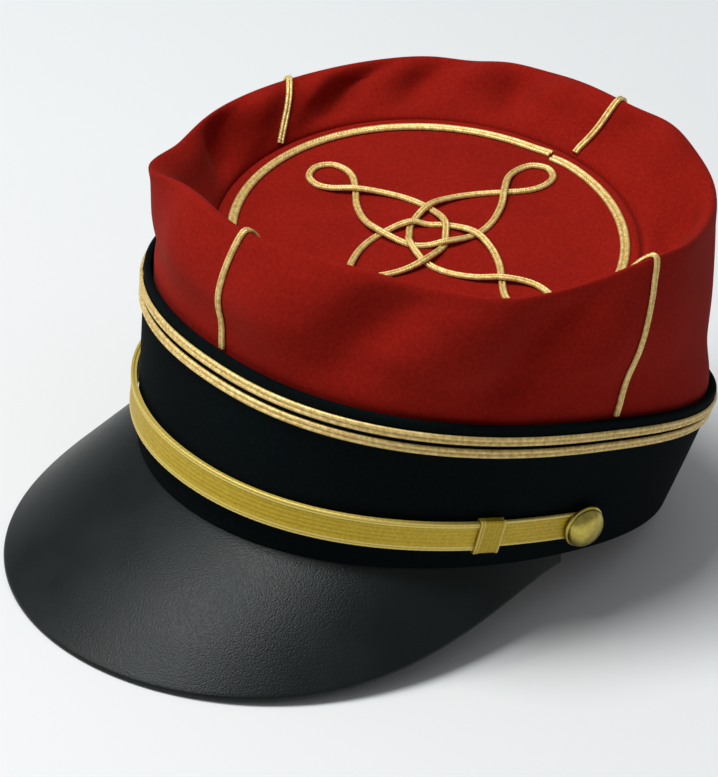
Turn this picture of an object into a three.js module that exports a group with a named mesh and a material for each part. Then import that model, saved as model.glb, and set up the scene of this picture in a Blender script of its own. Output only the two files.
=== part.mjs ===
// Kepi cap: a stiff dark cloth band, a soft red crown folded over a sunken top, a leather visor,
// a false chin strap between two domed buttons, and flat gold braid on the band, crown and top.
//
// The cap is built in its own upright frame, in millimetres: the band's lower edge lies near z = 0,
// the visor points to -Y and the wearer's left is +X. Angles around the cap are in degrees from the
// front (-Y), growing towards the wearer's left. The whole cap is then leaned back onto the visor's
// front edge and the back of the band, as it rests on a table, with z = 0 as the table.

import * as THREE from 'three';

// ---- driving dimensions, in millimetres and degrees ----

const SEGMENTS = 72;            // facets around the cap
const GAP = 0.35;               // clearance between neighbouring pieces

const BAND_BOTTOM = { halfLength: 101.6, halfWidth: 82.7, power: 2.08, y: 0, egg: 0 };
const BAND_TOP = { halfLength: 98.8, halfWidth: 91.3, power: 2.4, y: -7.4, egg: 0.07 };
const BAND_SIDE_RISE = 8.3;     // how far the lower edge arches up at each side
const BAND_BACK_RISE = 1.0;
const BAND_TOP_HEIGHT = 59.8;
const BAND_TOP_FRONT_RISE = 4.1;
const BAND_TOP_SIDE_RISE = 3.9;
const BAND_THICKNESS = 2.5;
const BAND_LEVELS = 4;

const CROWN_INSET = 3.4;        // crown cloth starts this far inside the band's outer top edge
const CROWN_HEM = 6;            // depth of crown cloth tucked inside the band
const CROWN_THICKNESS = 2;
// Inside the crest: the share of the way in to the seam, and of the way down to it.
const RIM_ROLL = { share: 0.3, drop: 0.12 };
const RIM_FOLD = { share: 0.62, drop: 0.52 };
// Stations along the crown cloth: 0 hem, 1 band, 2 bow, 3 shoulder, 4 crest, 5 roll, 6 fold, 7 seam, 8 end.
const CROWN_STATIONS = [0, 1, 1.5, 2, 2.5, 3, 3.5, 4, 4.5, 5, 5.5, 6, 6.5, 7, 8];
const BRAID_STATIONS = [1.1, ...CROWN_STATIONS.slice(2, -2), 6.8];
// Crown sections: height of the folded crest, how far it leans in, how far the wall below bows out.
const CROWN_SECTIONS = [
  { angle: 0, crest: 102, leanIn: -2, bow: 6 },
  { angle: 30, crest: 107.5, leanIn: -0.5, bow: 6 },
  { angle: 60, crest: 107.8, leanIn: 0, bow: 5.5 },
  { angle: 90, crest: 120.5, leanIn: 2, bow: 2.4 },
  { angle: 120, crest: 122.5, leanIn: 13, bow: 0 },
  { angle: 150, crest: 128.6, leanIn: 18.2, bow: 0.5 },
  { angle: 180, crest: 131.8, leanIn: 22, bow: 1 },
  { angle: 210, crest: 128, leanIn: 18, bow: 1.5 },
  { angle: 240, crest: 119.8, leanIn: 9, bow: 2 },
  { angle: 270, crest: 109.3, leanIn: 0, bow: 3 },
  { angle: 300, crest: 101.5, leanIn: -1.5, bow: 3 },
  { angle: 330, crest: 100.5, leanIn: -1.5, bow: 2 },
];
// Soft folds: where they lie around the crown, how wide they are, how far the crest and the wall
// below it are pushed out (in where negative), and how far the crest rises.
const CROWN_FOLDS = [
  { angle: 320, spread: 9, crestOut: 7, wallOut: -1.5, crestUp: -4 },
  { angle: 306, spread: 9, crestOut: 0, wallOut: 0, crestUp: -3 },
  { angle: 342, spread: 9, crestOut: 0, wallOut: 1, crestUp: 1.5 },
  { angle: 36, spread: 11, crestOut: 0, wallOut: -3, crestUp: 0 },
  { angle: 66, spread: 12, crestOut: -1.5, wallOut: -3, crestUp: 0 },
  { angle: 100, spread: 8, crestOut: 1, wallOut: 0, crestUp: 0 },
  { angle: 163, spread: 10, crestOut: 0, wallOut: 0, crestUp: 2.6 },
  { angle: 205, spread: 9, crestOut: 1.5, wallOut: 0, crestUp: -1 },
  { angle: 226, spread: 8, crestOut: 0, wallOut: 0, crestUp: -1.5 },
];

const TOP_CENTRE = new THREE.Vector3(0.4, -17.8, 90.1);
const TOP_TILT = 19;            // the sunken top slopes down to the front
const RING_HALF_LENGTH = 63.4;  // braid ring on the top, front to back
const RING_HALF_WIDTH = 69;
const TOP_SCALE = 1.09;         // the top's seam lies outside the ring by this factor
const TOP_THICKNESS = 2;
const SEAM_DEPTH = 3.5;         // the crown cloth ends this far below the top's face

const VISOR_HALF_ANGLE = 85.8;
const VISOR_WIDTH = 62.4;
const VISOR_END_WIDTH = 2.5;
const VISOR_TAPER = 1.27;
const VISOR_TUCK = 1.5;
const VISOR_DROOP = 39.2;
const VISOR_SIDE_DROOP = 31.3;
const VISOR_THICKNESS = 2.4;
const VISOR_STEPS = 44;
const VISOR_LEVELS = 6;

const BRAID_THICKNESS = 1;
const BAND_BRAID_WIDTH = 3.3;
const BAND_BRAIDS = [{ name: 'band_braid_upper', drop: 5 }, { name: 'band_braid_lower', drop: 9.9 }];
const CROWN_BRAID_WIDTH = 2.4;
const CROWN_BRAIDS = [
  { name: 'crown_braid_front', angle: 0 },
  { name: 'crown_braid_left', angle: 90 },
  { name: 'crown_braid_back', angle: 180 },
  { name: 'crown_braid_right', angle: 270 },
];
const RING_BRAID_WIDTH = 3.3;
const KNOT_WIDTH = 2.4;
const KNOT_LIFT = 1.5;          // one strand rises this far to pass over another
const KNOT_STEPS = 36;          // steps along each arm of the knot
// One arm of the knot, out along the arm and across it; over is 1 where the cord passes over itself.
const KNOT_ARM = [
  { along: -4.3, across: -4.3, over: 0 },
  { along: 0, across: -8.2, over: 1 },
  { along: 11.2, across: -11.2, over: 0 },
  { along: 20, across: -10, over: 0 },
  { along: 29, across: -5.6, over: 0.4 },
  { along: 36, across: 0, over: 1 },
  { along: 43, across: 5.2, over: 0.4 },
  { along: 48.5, across: 6.7, over: 0 },
  { along: 54, across: 5.2, over: 0 },
  { along: 56.6, across: 0, over: 0 },
  { along: 54, across: -5.2, over: 0 },
  { along: 48.5, across: -6.7, over: 0 },
  { along: 43, across: -5.2, over: 0 },
  { along: 36, across: 0, over: 0 },
  { along: 29, across: 5.6, over: 0 },
  { along: 20, across: 10, over: 0.4 },
  { along: 11.2, across: 11.2, over: 1 },
  { along: 0, across: 8.2, over: 0 },
];

const STRAP_LOW = 10.3;         // strap's lower edge above the band's lower edge
const STRAP_END_DROP = 1.6;     // the strap runs this much lower at the buttons
const STRAP_DROP_POWER = 6;
const STRAP_THICKNESS = 0.7;
const STRAP_OFFSET = 0.9;
const STRAP_HEIGHT = 10.4;
const STRAP_OVER_HEIGHT = 11;
const BUTTON_ANGLE = 87.5;
const STRAP_END_ANGLE = 86.5;
const SLIDE_ANGLE = 65.5;
const SLIDE_HALF_ANGLE = 2.5;
const SLIDE_BACK = 0.3;
const SLIDE_FRONT = 0.6;
const BUTTON_RADIUS = 8.3;
const BUTTON_DOME = 4.2;
const BUTTON_EDGE = 1.3;
const BUTTON_SHANK_RADIUS = 1.2;
const BUTTON_SIDES = 20;

const BAND_CRUSH = 1.0;         // cloth flattened where the back of the band rests
const VISOR_CRUSH = 0.8;

// ---- materials ----

const finish = (color, roughness, metalness = 0) => () =>
  new THREE.MeshStandardMaterial({ color, roughness, metalness });
const redWool = finish(0x8f1c16, 0.95);
const blackWool = finish(0x05090c, 0.95);
const blackLeather = finish(0x0c0f10, 0.45);
const goldBraid = finish(0xc9a45c, 0.55, 0.3);
const goldLace = finish(0xb8992a, 0.5, 0.3);
const giltBrass = finish(0xb89a3e, 0.3, 1);

// ---- small helpers ----

const { degToRad, lerp } = THREE.MathUtils;
const cosDeg = (angle) => Math.cos(degToRad(angle));
const sinDeg = (angle) => Math.sin(degToRad(angle));
const range = (count, from, to) =>
  Array.from({ length: count + 1 }, (_, i) => lerp(from, to, i / count));
const fullTurn = range(SEGMENTS - 1, 0, 360 - 360 / SEGMENTS);

// Smooth closed curve of a table column against its evenly spaced angles.
function column(table, key) {
  const count = table.length;
  return (angle) => {
    const at = (((angle % 360) + 360) % 360) / (360 / count);
    const i = Math.floor(at);
    const u = at - i;
    const [a, b, c, d] = [-1, 0, 1, 2].map((k) => table[(i + k + count) % count][key]);
    return b + 0.5 * u * (c - a + u * (2 * a - 5 * b + 4 * c - d + u * (3 * (b - c) + d - a)));
  };
}

// Closed solid through sections, each an outer and an inner row of points of equal length.
function loft(sections, ringed) {
  const rows = sections.map(({ outer, inner }) => [...outer, ...[...inner].reverse()]);
  const size = rows[0].length;
  const half = size / 2;
  const triangles = [];
  const quad = (a, b, c, d) => triangles.push(a, b, c, a, c, d);
  const steps = ringed ? rows.length : rows.length - 1;
  for (let i = 0; i < steps; i += 1) {
    const here = i * size;
    const next = ((i + 1) % rows.length) * size;
    for (let j = 0; j < size; j += 1) {
      const k = (j + 1) % size;
      quad(here + j, next + j, next + k, here + k);
    }
  }
  if (!ringed) {
    const last = (rows.length - 1) * size;
    for (let j = 0; j < half - 1; j += 1) {
      quad(j, j + 1, size - 2 - j, size - 1 - j);
      quad(last + j, last + size - 1 - j, last + size - 2 - j, last + j + 1);
    }
  }
  const points = rows.flat();
  let volume = 0;
  for (let i = 0; i < triangles.length; i += 3) {
    const [a, b, c] = [0, 1, 2].map((k) => points[triangles[i + k]]);
    volume += a.dot(b.clone().cross(c));
  }
  if (volume < 0) triangles.reverse();
  const geometry = new THREE.BufferGeometry().setFromPoints(points);
  geometry.setIndex(triangles);
  geometry.computeVertexNormals();
  return geometry;
}

function mesh(name, geometry, material) {
  const piece = new THREE.Mesh(geometry, material());
  piece.name = name;
  return piece;
}

// Flat ribbon along a route; frames give the point, the width direction and the face direction.
function ribbon(frames, width, thickness, lift, ringed) {
  const sections = frames.map(({ point, side, face }) => {
    const at = (across, up) => point.clone().addScaledVector(side, across).addScaledVector(face, up);
    return {
      outer: [at(-width / 2, lift + thickness), at(width / 2, lift + thickness)],
      inner: [at(-width / 2, lift), at(width / 2, lift)],
    };
  });
  return loft(sections, ringed);
}

// ---- band ----

function oval(shape, angle) {
  const c = cosDeg(angle);
  const s = sinDeg(angle);
  const size = (Math.abs(c) ** shape.power + Math.abs(s) ** shape.power) ** (-1 / shape.power);
  return new THREE.Vector3(
    shape.halfWidth * size * s * (1 - shape.egg * c),
    shape.y - shape.halfLength * size * c,
    0,
  );
}

function bandBottom(angle) {
  const point = oval(BAND_BOTTOM, angle);
  point.z = BAND_BACK_RISE * (1 - cosDeg(angle)) / 2 + BAND_SIDE_RISE * sinDeg(angle) ** 2;
  return point;
}

function bandTop(angle) {
  const point = oval(BAND_TOP, angle);
  point.z = BAND_TOP_HEIGHT + BAND_TOP_FRONT_RISE * cosDeg(angle) - BAND_TOP_SIDE_RISE * cosDeg(2 * angle);
  return point;
}

// Level outward direction of the band's upper edge.
function topOutward(angle) {
  const along = oval(BAND_TOP, angle + 1).sub(oval(BAND_TOP, angle - 1));
  return new THREE.Vector3(along.y, -along.x, 0).normalize();
}

// The band at one angle: its lower edge, its height, and the directions up it and out of it.
function bandFrame(angle) {
  const low = bandBottom(angle);
  const rise = bandTop(angle).sub(low);
  const up = rise.clone().normalize();
  const ahead = bandBottom(angle + 1).add(bandTop(angle + 1));
  const behind = bandBottom(angle - 1).add(bandTop(angle - 1));
  const along = ahead.sub(behind).normalize();
  const out = along.clone().cross(up).normalize();
  return { low, up, out, height: rise.length() };
}

// Point on the band at a height above its lower edge and an offset out of its face.
function bandPoint(angle, height, offset) {
  const { low, up, out } = bandFrame(angle);
  return low.addScaledVector(up, height).addScaledVector(out, offset);
}

function buildBand() {
  const sections = fullTurn.map((angle) => {
    const { height } = bandFrame(angle);
    const levels = range(BAND_LEVELS, 0, height);
    return {
      outer: levels.map((level) => bandPoint(angle, level, 0)),
      inner: levels.map((level) => bandPoint(angle, level, -BAND_THICKNESS)),
    };
  });
  return mesh('band', settle(loft(sections, true)), blackWool);
}

function buildBandBraid({ name, drop }) {
  const frames = fullTurn.map((angle) => {
    const { height, up, out } = bandFrame(angle);
    return { point: bandPoint(angle, height - drop, 0), side: up, face: out };
  });
  return mesh(name, ribbon(frames, BAND_BRAID_WIDTH, BRAID_THICKNESS, GAP, true), goldBraid);
}

// ---- crown ----

const crestHeight = column(CROWN_SECTIONS, 'crest');
const crestLean = column(CROWN_SECTIONS, 'leanIn');
const wallBow = column(CROWN_SECTIONS, 'bow');

// Sum of the folds' push at an angle.
function folded(angle, key) {
  return CROWN_FOLDS.reduce((sum, fold) => {
    const away = ((angle - fold.angle + 540) % 360) - 180;
    return sum + fold[key] * Math.exp(-((away / fold.spread) ** 2));
  }, 0);
}

// Point in the plane of the sunken top, as a part of the ring's half axes.
function topPoint(angle, scale, extra, depth) {
  const x = (RING_HALF_WIDTH * scale + extra) * sinDeg(angle);
  const y = -(RING_HALF_LENGTH * scale + extra) * cosDeg(angle);
  return new THREE.Vector3(x, y, -depth)
    .applyAxisAngle(new THREE.Vector3(1, 0, 0), degToRad(TOP_TILT))
    .add(TOP_CENTRE);
}

// Outer face of the crown cloth at one angle: from the hem, up the wall, over the crest and down
// to the seam of the sunken top.
function crownRoute(angle) {
  const out = topOutward(angle);
  const base = bandTop(angle).addScaledVector(out, -CROWN_INSET);
  const hem = bandPoint(angle, bandFrame(angle).height - CROWN_HEM, 0).addScaledVector(out, -CROWN_INSET);
  const seam = topPoint(angle, TOP_SCALE, GAP, 0);
  const end = topPoint(angle, TOP_SCALE, GAP, SEAM_DEPTH);
  const rise = crestHeight(angle) + folded(angle, 'crestUp') - base.z;
  const lean = crestLean(angle) - folded(angle, 'crestOut');
  const bow = wallBow(angle) + folded(angle, 'wallOut');
  const wall = (outward, height) => base.clone().addScaledVector(out, outward).setZ(base.z + height);
  const crest = wall(-lean, rise);
  const inside = ({ share, drop }) => crest.clone().lerp(seam, share).setZ(lerp(crest.z, seam.z, drop));
  return new THREE.CatmullRomCurve3([
    hem,
    base,
    wall(bow - 0.4 * lean, 0.45 * rise),
    wall(0.6 * bow - 0.8 * lean, 0.85 * rise),
    crest,
    inside(RIM_ROLL),
    inside(RIM_FOLD),
    seam,
    end,
  ], false, 'centripetal');
}

// The cloth at one angle as points with the directions around the cap and out of the cloth.
function crownSection(angle, stations) {
  const route = crownRoute(angle);
  const ahead = crownRoute(angle + 2);
  const behind = crownRoute(angle - 2);
  return stations.map((station) => {
    const u = station / CROWN_STATIONS.at(-1);
    const tangent = route.getTangent(u);
    const around = ahead.getPoint(u).sub(behind.getPoint(u));
    const face = around.cross(tangent).normalize();
    return { point: route.getPoint(u), side: tangent.cross(face).normalize(), face };
  });
}

function buildCrownWall() {
  const sections = fullTurn.map((angle) => {
    const frames = crownSection(angle, CROWN_STATIONS);
    return {
      outer: frames.map(({ point }) => point),
      inner: frames.map(({ point, face }) => point.clone().addScaledVector(face, -CROWN_THICKNESS)),
    };
  });
  return mesh('crown_wall', loft(sections, true), redWool);
}

function buildCrownBraid({ name, angle }) {
  const frames = crownSection(angle, BRAID_STATIONS);
  return mesh(name, ribbon(frames, CROWN_BRAID_WIDTH, BRAID_THICKNESS, GAP, false), goldBraid);
}

// ---- sunken top, built flat in its own group ----

function buildCrownTop() {
  const profile = [
    new THREE.Vector2(0, -TOP_THICKNESS),
    new THREE.Vector2(1, -TOP_THICKNESS),
    new THREE.Vector2(1, 0),
    new THREE.Vector2(0, 0),
  ];
  const geometry = new THREE.LatheGeometry(profile, SEGMENTS);
  geometry.rotateX(Math.PI / 2);
  geometry.scale(RING_HALF_WIDTH * TOP_SCALE - GAP, RING_HALF_LENGTH * TOP_SCALE - GAP, 1);
  return mesh('crown_top', geometry, redWool);
}

function buildRingBraid() {
  const frames = fullTurn.map((angle) => {
    const point = new THREE.Vector3(RING_HALF_WIDTH * sinDeg(angle), -RING_HALF_LENGTH * cosDeg(angle), 0);
    const side = new THREE.Vector3(RING_HALF_LENGTH * sinDeg(angle), -RING_HALF_WIDTH * cosDeg(angle), 0);
    return { point, side: side.normalize(), face: new THREE.Vector3(0, 0, 1) };
  });
  return mesh('top_ring_braid', ribbon(frames, RING_BRAID_WIDTH, BRAID_THICKNESS, GAP, true), goldBraid);
}

function buildKnotBraid() {
  const points = [0, 1, 2, 3].flatMap((arm) => KNOT_ARM.map(({ along, across, over }) =>
    new THREE.Vector3(along, across, over * KNOT_LIFT)
      .applyAxisAngle(new THREE.Vector3(0, 0, 1), -arm * Math.PI / 2)));
  const route = new THREE.CatmullRomCurve3(points, true, 'centripetal');
  const steps = KNOT_STEPS * 4;
  const up = new THREE.Vector3(0, 0, 1);
  const frames = range(steps - 1, 0, 1 - 1 / steps).map((u) => {
    const side = up.clone().cross(route.getTangentAt(u)).normalize();
    return { point: route.getPointAt(u), side, face: up };
  });
  return mesh('top_knot_braid', ribbon(frames, KNOT_WIDTH, BRAID_THICKNESS, GAP, true), goldBraid);
}

function buildTop() {
  const group = new THREE.Group();
  group.position.copy(TOP_CENTRE);
  group.rotation.x = degToRad(TOP_TILT);
  group.add(buildCrownTop(), buildRingBraid(), buildKnotBraid());
  return group;
}

// ---- visor ----

// Point on the visor, part of the way from the band to the free edge; below 0 is the lip that is
// tucked under the band.
function visorPoint(angle, part, depth) {
  const share = angle / VISOR_HALF_ANGLE;
  const width = VISOR_END_WIDTH
    + (VISOR_WIDTH - VISOR_END_WIDTH) * Math.abs(cosDeg(90 * share)) ** VISOR_TAPER;
  const droop = VISOR_DROOP + VISOR_SIDE_DROOP * share ** 2;
  const along = oval(BAND_BOTTOM, angle + 1).sub(oval(BAND_BOTTOM, angle - 1));
  const level = new THREE.Vector3(along.y, -along.x, 0).normalize();
  const down = level.clone().multiplyScalar(cosDeg(droop)).setZ(-sinDeg(droop));
  const face = level.clone().multiplyScalar(sinDeg(droop)).setZ(cosDeg(droop));
  const root = bandBottom(angle);
  root.z -= GAP;
  if (part < 0) root.addScaledVector(level, -VISOR_TUCK);
  else root.addScaledVector(down, width * part);
  return root.addScaledVector(face, -depth);
}

function buildVisor() {
  const parts = [-1, ...range(VISOR_LEVELS, 0, 1)];
  const sections = range(VISOR_STEPS, -VISOR_HALF_ANGLE, VISOR_HALF_ANGLE).map((angle) => ({
    outer: parts.map((part) => visorPoint(angle, part, 0)),
    inner: parts.map((part) => visorPoint(angle, part, VISOR_THICKNESS)),
  }));
  return mesh('visor', settle(loft(sections, false)), blackLeather);
}

// ---- false chin strap ----

// Height of the strap's middle line above the band's lower edge.
function strapMiddle(angle) {
  const share = Math.abs(angle / BUTTON_ANGLE);
  return STRAP_LOW + STRAP_OVER_HEIGHT / 2 - STRAP_END_DROP * share ** STRAP_DROP_POWER;
}

function strapPiece(name, reach, height, offset) {
  const angles = range(Math.round(2 * reach / 5), -reach, reach);
  const edge = (angle, out) => [-0.5, 0.5].map((side) => {
    const level = strapMiddle(angle) + side * height;
    return bandPoint(angle, level, out);
  });
  const sections = angles.map((angle) => ({
    outer: edge(angle, offset + STRAP_THICKNESS),
    inner: edge(angle, offset),
  }));
  return mesh(name, loft(sections, false), goldLace);
}

const strapOverOffset = STRAP_OFFSET + STRAP_THICKNESS + GAP;
const strapFace = strapOverOffset + STRAP_THICKNESS;

// Flat loop around both layers of the strap.
function buildSlide(name, angle) {
  const half = STRAP_OVER_HEIGHT / 2 + GAP;
  const back = STRAP_OFFSET - GAP;
  const front = strapFace + GAP;
  const corners = [
    { up: -half, out: back, upOut: -half - SLIDE_FRONT, outOut: back - SLIDE_BACK },
    { up: half, out: back, upOut: half + SLIDE_FRONT, outOut: back - SLIDE_BACK },
    { up: half, out: front, upOut: half + SLIDE_FRONT, outOut: front + SLIDE_FRONT },
    { up: -half, out: front, upOut: -half - SLIDE_FRONT, outOut: front + SLIDE_FRONT },
  ];
  const ends = [angle - SLIDE_HALF_ANGLE, angle + SLIDE_HALF_ANGLE];
  const sections = corners.map(({ up, out, upOut, outOut }) => ({
    outer: ends.map((end) => bandPoint(end, strapMiddle(end) + upOut, outOut)),
    inner: ends.map((end) => bandPoint(end, strapMiddle(end) + up, out)),
  }));
  return mesh(name, loft(sections, true), goldLace);
}

function buildButton(name, angle) {
  const back = STRAP_OFFSET + STRAP_THICKNESS + GAP;
  const dome = range(6, 0, 90).map((turn) => new THREE.Vector2(
    BUTTON_RADIUS * cosDeg(turn),
    back + BUTTON_EDGE + BUTTON_DOME * sinDeg(turn),
  ));
  dome[dome.length - 1].x = 0;
  const profile = [
    new THREE.Vector2(0, GAP),
    new THREE.Vector2(BUTTON_SHANK_RADIUS, GAP),
    new THREE.Vector2(BUTTON_SHANK_RADIUS, back),
    new THREE.Vector2(BUTTON_RADIUS, back),
    ...dome,
  ];
  const button = mesh(name, new THREE.LatheGeometry(profile, BUTTON_SIDES), giltBrass);
  const { out } = bandFrame(angle);
  button.position.copy(bandPoint(angle, strapMiddle(angle), 0));
  button.quaternion.setFromUnitVectors(new THREE.Vector3(0, 1, 0), out);
  return button;
}

function buildStrap() {
  return [
    strapPiece('strap_under', STRAP_END_ANGLE, STRAP_HEIGHT, STRAP_OFFSET),
    strapPiece('strap_over', SLIDE_ANGLE + SLIDE_HALF_ANGLE, STRAP_OVER_HEIGHT, strapOverOffset),
    buildSlide('strap_slide_left', SLIDE_ANGLE),
    buildSlide('strap_slide_right', -SLIDE_ANGLE),
    buildButton('button_left', BUTTON_ANGLE),
    buildButton('button_right', -BUTTON_ANGLE),
  ];
}

// ---- resting on the table ----

// The table plane in the cap's upright frame: it touches the band's back and the visor's front,
// each crushed a little.
function restPlane() {
  const back = bandBottom(180);
  const front = visorPoint(0, 1, VISOR_THICKNESS);
  const lean = Math.atan2(back.z + BAND_CRUSH - front.z - VISOR_CRUSH, back.y - front.y);
  const normal = new THREE.Vector3(0, -Math.sin(lean), Math.cos(lean));
  const touch = back.clone().setZ(back.z + BAND_CRUSH);
  return { lean, plane: new THREE.Plane().setFromNormalAndCoplanarPoint(normal, touch) };
}

// Cloth or leather below the table is pressed flat onto it.
function settle(geometry) {
  const { plane } = restPlane();
  const position = geometry.getAttribute('position');
  const point = new THREE.Vector3();
  for (let i = 0; i < position.count; i += 1) {
    point.fromBufferAttribute(position, i);
    if (plane.distanceToPoint(point) < 0) {
      plane.projectPoint(point, point);
      position.setXYZ(i, point.x, point.y, point.z);
    }
  }
  return geometry;
}

const upright = new THREE.Group();
upright.add(
  buildBand(),
  ...BAND_BRAIDS.map(buildBandBraid),
  buildCrownWall(),
  ...CROWN_BRAIDS.map(buildCrownBraid),
  buildTop(),
  buildVisor(),
  ...buildStrap(),
);

// Lean back onto the table, then centre the cap's plan over the origin.
const { lean, plane } = restPlane();
upright.rotation.x = -lean;
upright.position.z = plane.constant;
const group = new THREE.Group();
group.add(upright);
group.updateMatrixWorld(true);
const extent = new THREE.Box3().setFromObject(group, true);
upright.position.x = -(extent.min.x + extent.max.x) / 2;
upright.position.y = -(extent.min.y + extent.max.y) / 2;

export default group;
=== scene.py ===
"""Looks of the kepi cap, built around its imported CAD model.

Everything is modelled in the cap's own upright frame, in metres: the band's lower edge lies near z = 0,
the visor points to -Y and the wearer's left is +X. Angles around the cap are in degrees from the front,
growing towards the wearer's left. settle() then leans it back onto the table, where the CAD model rests.
"""

import math

import bpy
import numpy as np
from mathutils import Matrix, Vector


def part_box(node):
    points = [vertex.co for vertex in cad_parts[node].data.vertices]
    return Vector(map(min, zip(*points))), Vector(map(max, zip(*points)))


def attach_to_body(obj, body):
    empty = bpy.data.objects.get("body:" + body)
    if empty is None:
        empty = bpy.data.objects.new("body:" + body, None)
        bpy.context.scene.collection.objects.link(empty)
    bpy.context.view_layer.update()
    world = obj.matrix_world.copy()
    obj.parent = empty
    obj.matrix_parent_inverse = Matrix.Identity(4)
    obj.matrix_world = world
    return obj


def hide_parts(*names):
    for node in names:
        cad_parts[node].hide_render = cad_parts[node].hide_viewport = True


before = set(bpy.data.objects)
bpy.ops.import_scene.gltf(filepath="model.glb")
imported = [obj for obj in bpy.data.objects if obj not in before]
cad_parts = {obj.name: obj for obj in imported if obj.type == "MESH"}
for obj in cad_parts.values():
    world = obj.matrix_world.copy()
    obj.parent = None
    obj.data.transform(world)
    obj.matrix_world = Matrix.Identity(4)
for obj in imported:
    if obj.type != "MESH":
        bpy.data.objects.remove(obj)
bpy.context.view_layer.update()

MM = 0.001

# ---- driving dimensions, the same as the CAD model's ----

BAND_BOTTOM = {"half_length": 0.1016, "half_width": 0.0827, "power": 2.08, "y": 0.0, "egg": 0.0}
BAND_TOP = {"half_length": 0.0988, "half_width": 0.0913, "power": 2.4, "y": -0.0074, "egg": 0.07}
BAND_SIDE_RISE = 0.0083
BAND_BACK_RISE = 0.0010
BAND_TOP_HEIGHT = 0.0598
BAND_TOP_FRONT_RISE = 0.0041
BAND_TOP_SIDE_RISE = 0.0039
BAND_THICKNESS = 0.0025
GAP = 0.00035

CROWN_INSET = 0.0034
CROWN_HEM = 0.006
CROWN_THICKNESS = 0.002
# Inside the crest: the share of the way in to the seam, and of the way down to it.
RIM_ROLL = (0.30, 0.12)
RIM_FOLD = (0.62, 0.52)
CROWN_SECTIONS = [
    {"angle": 0, "crest": 0.1020, "lean_in": -0.0020, "bow": 0.0060},
    {"angle": 30, "crest": 0.1075, "lean_in": -0.0005, "bow": 0.0060},
    {"angle": 60, "crest": 0.1078, "lean_in": 0.0, "bow": 0.0055},
    {"angle": 90, "crest": 0.1205, "lean_in": 0.0020, "bow": 0.0024},
    {"angle": 120, "crest": 0.1225, "lean_in": 0.0130, "bow": 0.0},
    {"angle": 150, "crest": 0.1286, "lean_in": 0.0182, "bow": 0.0005},
    {"angle": 180, "crest": 0.1318, "lean_in": 0.0220, "bow": 0.0010},
    {"angle": 210, "crest": 0.1280, "lean_in": 0.0180, "bow": 0.0015},
    {"angle": 240, "crest": 0.1198, "lean_in": 0.0090, "bow": 0.0020},
    {"angle": 270, "crest": 0.1093, "lean_in": 0.0, "bow": 0.0030},
    {"angle": 300, "crest": 0.1015, "lean_in": -0.0015, "bow": 0.0030},
    {"angle": 330, "crest": 0.1005, "lean_in": -0.0015, "bow": 0.0020},
]
CROWN_FOLDS = [
    {"angle": 320, "spread": 9, "crest_out": 0.0070, "wall_out": -0.0015, "crest_up": -0.0040},
    {"angle": 306, "spread": 9, "crest_out": 0.0, "wall_out": 0.0, "crest_up": -0.0030},
    {"angle": 342, "spread": 9, "crest_out": 0.0, "wall_out": 0.0010, "crest_up": 0.0015},
    {"angle": 36, "spread": 11, "crest_out": 0.0, "wall_out": -0.0030, "crest_up": 0.0},
    {"angle": 66, "spread": 12, "crest_out": -0.0015, "wall_out": -0.0030, "crest_up": 0.0},
    {"angle": 100, "spread": 8, "crest_out": 0.0010, "wall_out": 0.0, "crest_up": 0.0},
    {"angle": 163, "spread": 10, "crest_out": 0.0, "wall_out": 0.0, "crest_up": 0.0026},
    {"angle": 205, "spread": 9, "crest_out": 0.0015, "wall_out": 0.0, "crest_up": -0.0010},
    {"angle": 226, "spread": 8, "crest_out": 0.0, "wall_out": 0.0, "crest_up": -0.0015},
]

TOP_CENTRE = np.array([0.0004, -0.0178, 0.0901])
TOP_TILT = math.radians(19)
RING_HALF_LENGTH = 0.0634
RING_HALF_WIDTH = 0.0690
TOP_SCALE = 1.09
TOP_THICKNESS = 0.002
SEAM_DEPTH = 0.0035

VISOR_HALF_ANGLE = 85.8
VISOR_WIDTH = 0.0624
VISOR_END_WIDTH = 0.0025
VISOR_TAPER = 1.27
VISOR_TUCK = 0.0015
VISOR_DROOP = 39.2
VISOR_SIDE_DROOP = 31.3
VISOR_THICKNESS = 0.0024

BRAID_THICKNESS = 0.0010
BAND_BRAID_WIDTH = 0.0033
BAND_BRAID_DROPS = {"band_braid_upper": 0.0050, "band_braid_lower": 0.0099}
CROWN_BRAID_WIDTH = 0.0024
CROWN_BRAID_ANGLES = {
    "crown_braid_front": 0, "crown_braid_left": 90, "crown_braid_back": 180, "crown_braid_right": 270,
}
RING_BRAID_WIDTH = 0.0033
RING_JOINT_ANGLE = 184
RING_JOINT_OFFSET = 0.0009
RING_JOINT_LENGTH = 0.012       # share of the ring's length over which an end drifts aside
KNOT_WIDTH = 0.0024
KNOT_LIFT = 0.0015
# One arm of the knot, in mm out along the arm and across it; over is 1 where it passes over itself.
KNOT_ARM = [
    {"along": -4.3, "across": -4.3, "over": 0},
    {"along": 0, "across": -8.2, "over": 1},
    {"along": 11.2, "across": -11.2, "over": 0},
    {"along": 20, "across": -10, "over": 0},
    {"along": 29, "across": -5.6, "over": 0.4},
    {"along": 36, "across": 0, "over": 1},
    {"along": 43, "across": 5.2, "over": 0.4},
    {"along": 48.5, "across": 6.7, "over": 0},
    {"along": 54, "across": 5.2, "over": 0},
    {"along": 56.6, "across": 0, "over": 0},
    {"along": 54, "across": -5.2, "over": 0},
    {"along": 48.5, "across": -6.7, "over": 0},
    {"along": 43, "across": -5.2, "over": 0},
    {"along": 36, "across": 0, "over": 0},
    {"along": 29, "across": 5.6, "over": 0},
    {"along": 20, "across": 10, "over": 0.4},
    {"along": 11.2, "across": 11.2, "over": 1},
    {"along": 0, "across": 8.2, "over": 0},
]

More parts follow.
